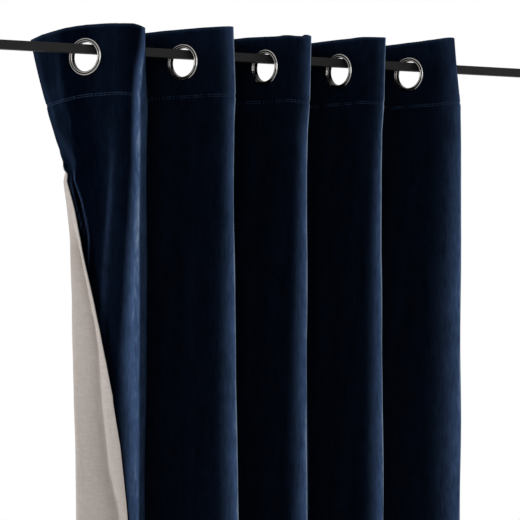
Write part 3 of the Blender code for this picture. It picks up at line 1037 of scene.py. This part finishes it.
def eyelet_ring(index):
    """The pressed front ring and back washer of one eyelet, turned on its axis."""
    station = eyelet_station(index)
    x, y, direction = (float(part[0]) for part in plan_places(np.array([station]), 0.0))
    height = ROD_AXIS_Z + ring_height(index)
    outward = Vector((math.sin(direction), -math.cos(direction), 0.0))
    level = Vector((math.cos(direction), math.sin(direction), 0.0))
    shape = bmesh.new()
    for profile in (RING_FRONT, RING_WASHER):
        loops = []
        for k in range(RING_SIDES):
            angle = math.tau * k / RING_SIDES
            spoke = math.cos(angle) * level + Vector((0.0, 0.0, math.sin(angle)))
            centre = Vector((x, y, height))
            loops.append([
                shape.verts.new(centre + radius * spoke + along * outward)
                for radius, along in profile
            ])
        for here, there in zip(loops, loops[1:] + loops[:1]):
            band(shape, here, there)
    name = f"eyelet_ring_{index + 1:02d}"
    mesh = smooth_mesh(name, shape)
    radii = []
    for profile in (RING_FRONT, RING_WASHER):
        radii += [radius for radius, _ in profile] * RING_SIDES
    # Painted shade, darkest in the grooves and the barrel
    recess_shade = np.interp(radii, RECESS_RADII, RECESS_SHADE_SHARES)
    layer = mesh.attributes.new(RECESS_SHADE_LAYER, "FLOAT", "POINT")
    layer.data.foreach_set("value", recess_shade.astype(np.float32))
    mesh.set_sharp_from_angle(angle=RING_SHARP)
    return new_object(name, mesh)


def rod_bar():
    """The square bar with rounded long edges, and a flat plug set into each end."""
    shape = bmesh.new()
    inner = ROD_SIDE / 2 - ROD_WALL
    tube_end = ROD_LENGTH / 2
    sections = (
        (inner, -tube_end + PLUG_INSET), (inner, -tube_end), (ROD_SIDE / 2, -tube_end),
        (ROD_SIDE / 2, tube_end), (inner, tube_end), (inner, tube_end - PLUG_INSET),
    )
    loops = []
    for half, place in sections:
        corners = ((-half, -half), (half, -half), (half, half), (-half, half))
        loops.append([shape.verts.new((place, y, z + ROD_AXIS_Z)) for y, z in corners])
    for here, there in zip(loops, loops[1:]):
        band(shape, here, there)
    shape.faces.new(loops[0])
    shape.faces.new(loops[-1])
    obj = new_object("rod_bar", smooth_mesh("rod_bar", shape))
    round_off(obj, "rounded_edges", ROD_ROUNDING, 3).harden_normals = True
    return obj


class Nodes:
    """A material's node tree, with a short way to add and link nodes."""

    def __init__(self, name):
        self.material = bpy.data.materials.new(name)
        self.material.use_nodes = True
        self.tree = self.material.node_tree
        self.shader = self.tree.nodes["Principled BSDF"]

    def add(self, kind, settings=None, **inputs):
        node = self.tree.nodes.new(kind)
        for key, value in (settings or {}).items():
            setattr(node, key, value)
        for key, value in inputs.items():
            self.set(node, key.replace("_", " "), value)
        return node

    def set(self, node, key, value):
        socket = node.inputs[key]
        if isinstance(value, bpy.types.NodeSocket):
            self.tree.links.new(value, socket)
        else:
            socket.default_value = value

    def attribute(self, name):
        return self.add("ShaderNodeAttribute", {"attribute_name": name}).outputs["Fac"]

    def combine(self, operation, first, second):
        node = self.add("ShaderNodeMath", {"operation": operation})
        self.tree.links.new(first, node.inputs[0])
        self.tree.links.new(second, node.inputs[1])
        return node.outputs["Value"]

    def noise(self, place, scale, detail=2.0, rough=0.5):
        node = self.add(
            "ShaderNodeTexNoise", Vector=place, Scale=scale, Detail=detail, Roughness=rough
        )
        return node.outputs["Fac"]

    def on_cloth(self, scales, detail=2.0, rough=0.5):
        """Noise on the flat cloth, with its own scale along the cloth and down it."""
        uv = self.add("ShaderNodeUVMap", {"uv_map": CLOTH_UV})
        mapping = self.add("ShaderNodeMapping", Vector=uv.outputs["UV"])
        mapping.inputs["Scale"].default_value = (*scales, 1.0)
        return self.noise(mapping.outputs["Vector"], 1.0, detail, rough)

    def in_space(self, scale, detail=2.0, rough=0.5):
        """Noise through the piece, with the same scale each way."""
        place = self.add("ShaderNodeTexCoord").outputs["Object"]
        return self.noise(place, scale, detail, rough)

    def ramp(self, value, low, high, start=0.3, end=0.7):
        node = self.add("ShaderNodeMapRange", Value=value)
        node.inputs["From Min"].default_value = start
        node.inputs["From Max"].default_value = end
        node.inputs["To Min"].default_value = low
        node.inputs["To Max"].default_value = high
        return node.outputs["Result"]

    def mix(self, value, first, second):
        node = self.add("ShaderNodeMix", {"data_type": "RGBA"})
        self.set(node, "Factor", value)
        for slot, colour in ((6, first), (7, second)):
            if isinstance(colour, bpy.types.NodeSocket):
                self.tree.links.new(colour, node.inputs[slot])
            else:
                node.inputs[slot].default_value = (*colour, 1.0)
        return node.outputs[2]

    def bump(self, value, distance, strength, normal=None):
        node = self.add("ShaderNodeBump", Height=value, Distance=distance, Strength=strength)
        if normal is not None:
            self.set(node, "Normal", normal)
        return node.outputs["Normal"]

    def finish(self, **inputs):
        for key, value in inputs.items():
            self.set(self.shader, key.replace("_", " "), value)
        return self.material


def velvet_material():
    """Navy pile, nearly black, turned pale blue by painted sheen along its ridges and lines.
    """
    nodes = Nodes("navy_velvet")
    streaks = nodes.on_cloth(STREAKS, 3.0)
    blotches = nodes.on_cloth(BLOTCHES, 3.0, 0.6)
    combed = nodes.on_cloth(COMBED, 3.0, 0.6)
    pile = nodes.on_cloth((PILE, PILE))
    tone = nodes.mix(nodes.ramp(blotches, 0.0, 1.0), VELVET_DARK, VELVET_LIGHT)
    other = nodes.mix(nodes.ramp(combed, 0.0, 1.0), VELVET_DARK, VELVET_LIGHT)
    tone = nodes.mix(0.5, tone, other)
    broad = nodes.mix(0.5, nodes.ramp(streaks, 0.45, 1.55), nodes.ramp(blotches, 0.4, 1.6))
    patchy = nodes.mix(0.45, broad, nodes.ramp(combed, 0.4, 1.6))
    # Painted sheen, broken up at random, turns the pile towards pale blue
    painted_sheen = nodes.combine("MULTIPLY", nodes.attribute(PAINTED_SHEEN_LAYER), patchy)
    tone = nodes.mix(painted_sheen, tone, VELVET_PAINTED_SHEEN)
    # Where the painted sheen passes 1, the pile turns to the painted rim highlight
    tone = nodes.mix(nodes.ramp(painted_sheen, 0.0, 1.0, 1.0, 2.0), tone, VELVET_PAINTED_RIM_HIGHLIGHT)
    lay = nodes.bump(streaks, 0.0010, 0.5)
    return nodes.finish(
        Base_Color=tone,
        Roughness=0.95,
        Specular_IOR_Level=0.0,
        Sheen_Weight=VELVET_SHEEN_WEIGHT,
        Sheen_Roughness=VELVET_SHEEN_ROUGHNESS,
        Sheen_Tint=(*VELVET_SHEEN, 1.0),
        Normal=nodes.bump(pile, 0.0004, 0.6, lay),
    )


def lining_material():
    """Plain weave of uneven beige threads."""
    nodes = Nodes("beige_lining")
    weave = nodes.combine("MAXIMUM", nodes.on_cloth(WARP, 1.0), nodes.on_cloth(WEFT, 1.0))
    slubs = nodes.on_cloth(SLUBS)
    tone = nodes.mix(nodes.ramp(weave, 0.0, 1.0, 0.42, 0.72), LINING_DARK, LINING_LIGHT)
    tone = nodes.mix(nodes.ramp(slubs, 0.0, 0.35, 0.5, 0.8), tone, LINING_DARK)
    # Painted shade beside the flap's fold, and the darker line at its rim
    share = nodes.ramp(nodes.attribute(SHADE_LAYER), 0.0, LINING_SHADE, 0.0, 1.0)
    return nodes.finish(
        Base_Color=nodes.mix(share, tone, LINING_SHADED),
        Roughness=0.85,
        Specular_IOR_Level=0.2,
        Sheen_Weight=LINING_SHEEN_WEIGHT,
        Sheen_Roughness=LINING_SHEEN_ROUGHNESS,
        Normal=nodes.bump(weave, 0.0003, 0.6),
    )


def thread_material():
    """Twisted thread, paler than the pile that it lies in."""
    nodes = Nodes("navy_thread")
    twist = nodes.in_space(TWIST, 1.0)
    return nodes.finish(
        Base_Color=nodes.mix(nodes.ramp(twist, 0.0, 1.0), THREAD_DARK, THREAD_LIGHT),
        Roughness=0.7,
        Specular_IOR_Level=0.1,
        Normal=nodes.bump(twist, 0.0002, 0.5),
    )


def nickel_material():
    """Polished nickel with faint haze and hairline marks, with shade painted dark into its
    recesses.
    """
    nodes = Nodes("polished_nickel")
    haze = nodes.in_space(HAZE, 3.0)
    marks = nodes.in_space(MARKS, 2.0, 0.7)
    tone = nodes.mix(nodes.ramp(haze, 0.0, 1.0), NICKEL_DARK, NICKEL_LIGHT)
    return nodes.finish(
        # Painted shade darkens the recesses
        Base_Color=nodes.mix(nodes.attribute(RECESS_SHADE_LAYER), tone, NICKEL_PAINTED_SHADE),
        Metallic=1.0,
        Roughness=nodes.ramp(haze, 0.10, 0.20),
        Normal=nodes.bump(marks, 0.00003, 0.5),
    )


def rod_material():
    """Matte black powder coat, with its fine orange-peel texture."""
    nodes = Nodes("black_powder_coat")
    grain = nodes.in_space(COAT_GRAIN)
    patches = nodes.in_space(COAT_PATCHES, 3.0)
    return nodes.finish(
        Base_Color=nodes.mix(nodes.ramp(patches, 0.0, 1.0), ROD_DARK, ROD_LIGHT),
        Roughness=nodes.ramp(grain, 0.45, 0.62),
        Specular_IOR_Level=0.3,
        Normal=nodes.bump(grain, 0.00012, 0.5),
    )


def floor_material():
    nodes = Nodes("pale_floor")
    grain = nodes.in_space(FLOOR_GRAIN, 4.0)
    tone = nodes.mix(nodes.ramp(grain, 0.0, 1.0), FLOOR_DARK, FLOOR_LIGHT)
    return nodes.finish(Base_Color=tone, Roughness=0.8)


def floor():
    half = FLOOR_SIDE / 2
    mesh = bpy.data.meshes.new("floor")
    corners = [(-half, -half, 0.0), (half, -half, 0.0), (half, half, 0.0), (-half, half, 0.0)]
    mesh.from_pydata(corners, [], [(0, 1, 2, 3)])
    obj = new_object("floor", mesh)
    obj.location.z = FLOOR_Z
    obj.data.materials.append(floor_material())


def camera():
    data = bpy.data.cameras.new("camera")
    data.sensor_width = CAMERA_SENSOR
    data.lens = FOCAL_PIXELS * CAMERA_SENSOR / PHOTO_SIDE
    obj = new_object("camera", data)
    obj.location = CAMERA_AT
    obj.rotation_euler = (math.radians(90 - CAMERA_DIP), 0.0, -math.radians(CAMERA_TURN))
    bpy.context.scene.camera = obj


# Each lamp's power is in watts, and a lamp may be left out of the rings' reflections
Lamp = namedtuple("Lamp", "name place power mirrored")
LAMPS = (
    Lamp("key_from_left", (-3.1, 1.0, 0.5), 82.0, False),
    Lamp("soft_from_front", (-1.6, -3.4, 0.4), 32.0, True),
    Lamp("fill_from_right", (2.4, -2.6, 0.6), 8.0, True),
)
LAMP_SIDE = 2.0
LAMP_TARGET = (0.0, 0.0, -0.35)


def lights():
    for lamp in LAMPS:
        data = bpy.data.lights.new(lamp.name, "AREA")
        data.shape = "SQUARE"
        data.size = LAMP_SIDE
        data.energy = lamp.power
        obj = new_object(lamp.name, data)
        obj.visible_glossy = lamp.mirrored
        obj.location = lamp.place
        towards = Vector(LAMP_TARGET) - Vector(lamp.place)
        obj.rotation_euler = towards.to_track_quat("-Z", "Y").to_euler()


def studio_world():
    """An even white world, whose strength depends on what looks at it."""
    world = bpy.data.worlds.new("studio")
    world.use_nodes = True
    nodes, links = world.node_tree.nodes, world.node_tree.links
    rays = nodes.new("ShaderNodeLightPath")
    seen, mirrored = nodes.new("ShaderNodeMath"), nodes.new("ShaderNodeMath")
    for node, ray, value in (
        (seen, "Is Camera Ray", WORLD_SEEN),
        (mirrored, "Is Glossy Ray", WORLD_MIRRORED),
    ):
        node.operation = "MULTIPLY_ADD"
        node.inputs[1].default_value = value - WORLD_LIGHT
        links.new(rays.outputs[ray], node.inputs[0])
    seen.inputs[2].default_value = WORLD_LIGHT
    links.new(seen.outputs["Value"], mirrored.inputs[2])
    background = nodes["Background"]
    background.inputs["Color"].default_value = (1.0, 1.0, 1.0, 1.0)
    links.new(mirrored.outputs["Value"], background.inputs["Strength"])
    bpy.context.scene.world = world
    bpy.context.scene.view_settings.view_transform = "Standard"


def dress(obj, material, slot, *nodes):
    """Gives a piece its material and its body, and hides the solids it stands for; the slot is
    not used.
    """
    obj.data.materials.append(material)
    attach(obj, "root")
    if nodes:
        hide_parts(*nodes)


def main():
    floor()
    camera()
    lights()
    studio_world()
    grid = cloth_grid()
    rod = rod_bar()
    dress(rod, rod_material(), "rod_metal", "rod")
    nickel = nickel_material()
    rings = [eyelet_ring(index) for index in range(EYELETS)]
    for index, ring in enumerate(rings):
        dress(ring, nickel, "ring_metal", f"eyelet_{index + 1:02d}")
    stitches = heading_stitches()
    dress(stitches, thread_material(), "velvet")
    lining = lining_sheet(grid)
    dress(lining, lining_material(), "lining", "lining")
    velvet = velvet_sheet(grid)
    dress(velvet, velvet_material(), "velvet", "heading", "velvet_panel")


main()
